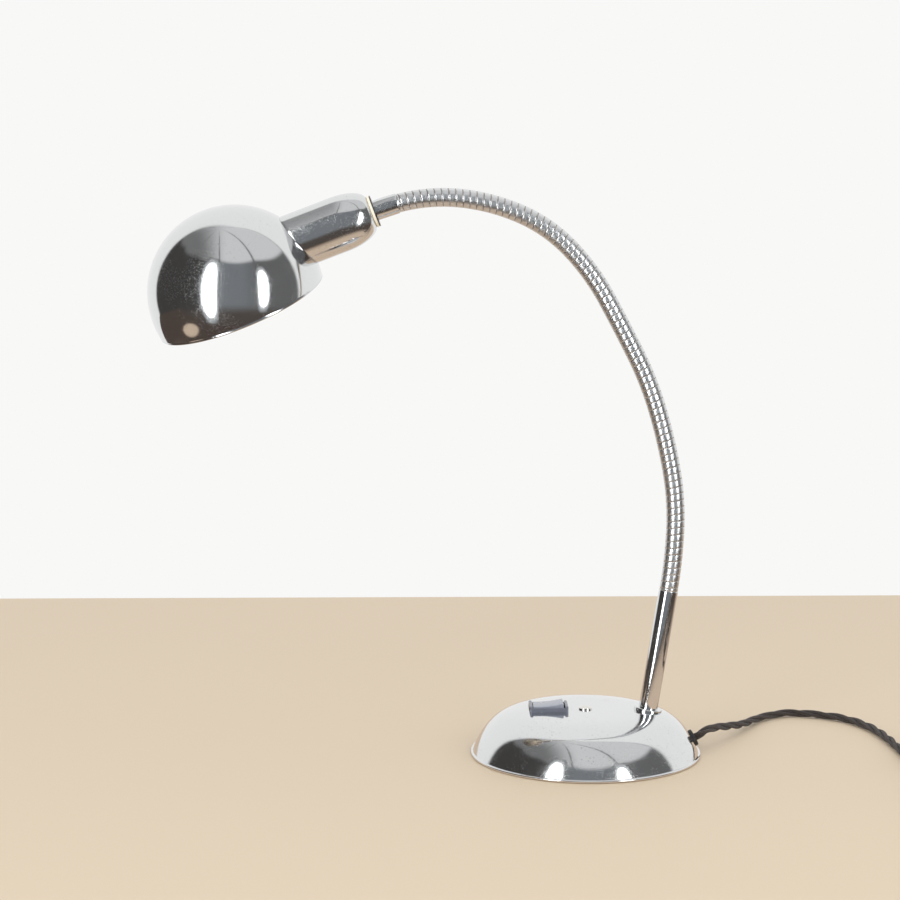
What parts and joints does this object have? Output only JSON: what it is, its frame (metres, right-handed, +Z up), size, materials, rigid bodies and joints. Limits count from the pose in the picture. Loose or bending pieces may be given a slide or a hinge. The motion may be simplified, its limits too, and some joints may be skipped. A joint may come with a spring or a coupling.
{
  "type": "desk lamp",
  "caption": "Chrome desk lamp: a domed weighted foot with a rocker switch, a leaning stem, a bendable ribbed neck, a lampholder cup and a ball shade, with its twisted flex wound up.",
  "frame": {"origin": "centre of the foot's underside, on the table", "axes": "+Z up; -X towards the head; +X towards the flex's exit, to the right in the picture; +Y away from the viewer"},
  "size_m": [0.6849, 0.2727, 0.4393],
  "materials": {
    "chrome": "polished plate",
    "zinc_steel": "bright zinc",
    "dark_steel": "dark",
    "iron": "cast",
    "felt": "felt",
    "switch_plastic": "smooth",
    "rocker_plastic": "smooth",
    "brass": "machined",
    "pale_brass": "polished",
    "grommet_rubber": "satin",
    "block_plastic": "ivory",
    "wire_sleeve": "smooth",
    "cap_metal": "satin",
    "opal_glass": "opal",
    "flex_braid": "twisted braid",
    "plug_plastic": "moulded",
    "pin_metal": "nickel"
  },
  "bodies": {
    "foot_and_stem": {"base_shell": "chrome", "iron_weight": "iron", "base_plate": "zinc_steel", "felt_pad": "felt", "tie_screw": "zinc_steel", "tie_nut": "zinc_steel", "switch_housing": "switch_plastic", "switch_terminals": "brass", "stem_tube": "chrome", "stem_collar": "chrome", "stem_bush": "brass", "stem_nipple": "brass", "stem_washer": "zinc_steel", "stem_nut": "zinc_steel", "flex_grommet": "grommet_rubber", "terminal_block": "block_plastic", "flex_clamp": "zinc_steel", "base_wiring": "wire_sleeve", "neck_link_1": "chrome", "neck_flex_1": "wire_sleeve", "flex_free": "flex_braid", "flex_coil": "flex_braid", "flex_tail": "flex_braid", "flex_tie": "grommet_rubber", "plug_body": "plug_plastic", "plug_pins": "pin_metal"},
    "neck_2": {"neck_link_2": "chrome", "neck_flex_2": "wire_sleeve"},
    "neck_3": {"neck_link_3": "chrome", "neck_flex_3": "wire_sleeve"},
    "neck_4": {"neck_link_4": "chrome", "neck_flex_4": "wire_sleeve"},
    "neck_5": {"neck_link_5": "chrome", "neck_flex_5": "wire_sleeve"},
    "neck_6": {"neck_link_6": "chrome", "neck_flex_6": "wire_sleeve"},
    "neck_7": {"neck_link_7": "chrome", "neck_flex_7": "wire_sleeve"},
    "neck_8": {"neck_link_8": "chrome", "neck_flex_8": "wire_sleeve"},
    "neck_9": {"neck_link_9": "chrome", "neck_flex_9": "wire_sleeve", "neck_ferrule": "chrome", "head_nipple": "brass", "steel_washer": "dark_steel"},
    "head": {"brass_washer": "pale_brass", "holder_cup": "chrome", "holder_cap": "block_plastic", "holder_body": "block_plastic", "holder_thread": "brass", "holder_contacts": "brass", "holder_leads": "wire_sleeve", "shade": "chrome", "shade_ring": "block_plastic", "bulb_cap": "cap_metal", "bulb_glass": "opal_glass"},
    "rocker": {"switch_rocker": "rocker_plastic"}
  },
  "joints": [
    {"name": "neck_bend_1", "type": "hinge", "parent": "foot_and_stem", "child": "neck_2", "pos_m": [0.06877, 0, 0.16871], "axis": [0, -1, 0], "range_deg": [-25, 8]},
    {"name": "neck_sway_2", "type": "hinge", "parent": "neck_2", "child": "neck_3", "pos_m": [0.06704, 0, 0.21601], "axis": [-0.9839, 0, -0.1788], "range_deg": [-20, 20]},
    {"name": "neck_bend_3", "type": "hinge", "parent": "neck_3", "child": "neck_4", "pos_m": [0.05677, 0, 0.26226], "axis": [0, -1, 0], "range_deg": [-25, 10]},
    {"name": "neck_sway_4", "type": "hinge", "parent": "neck_4", "child": "neck_5", "pos_m": [0.04039, 0, 0.3067], "axis": [-0.8926, 0, -0.4509], "range_deg": [-20, 20]},
    {"name": "neck_bend_5", "type": "hinge", "parent": "neck_5", "child": "neck_6", "pos_m": [0.01852, 0, 0.34875], "axis": [0, -1, 0], "range_deg": [-25, 12]},
    {"name": "neck_sway_6", "type": "hinge", "parent": "neck_6", "child": "neck_7", "pos_m": [-0.0079, 0, 0.38799], "axis": [-0.7218, 0, -0.6921], "range_deg": [-20, 20]},
    {"name": "neck_bend_7", "type": "hinge", "parent": "neck_7", "child": "neck_8", "pos_m": [-0.04492, 0, 0.41724], "axis": [0, -1, 0], "range_deg": [-25, 15]},
    {"name": "neck_sway_8", "type": "hinge", "parent": "neck_8", "child": "neck_9", "pos_m": [-0.09007, 0, 0.43122], "axis": [-0.0993, 0, -0.9951], "range_deg": [-20, 20]},
    {"name": "head_turn", "type": "hinge", "parent": "neck_9", "child": "head", "pos_m": [-0.16162, 0, 0.42274], "axis": [-0.9361, 0, -0.3518], "range_deg": [-90, 90]},
    {"name": "switch_rock", "type": "hinge", "parent": "foot_and_stem", "child": "rocker", "pos_m": [-0.029, 0, 0.0352], "axis": [0, 1, 0], "range_deg": [0, 12]}
  ]
}
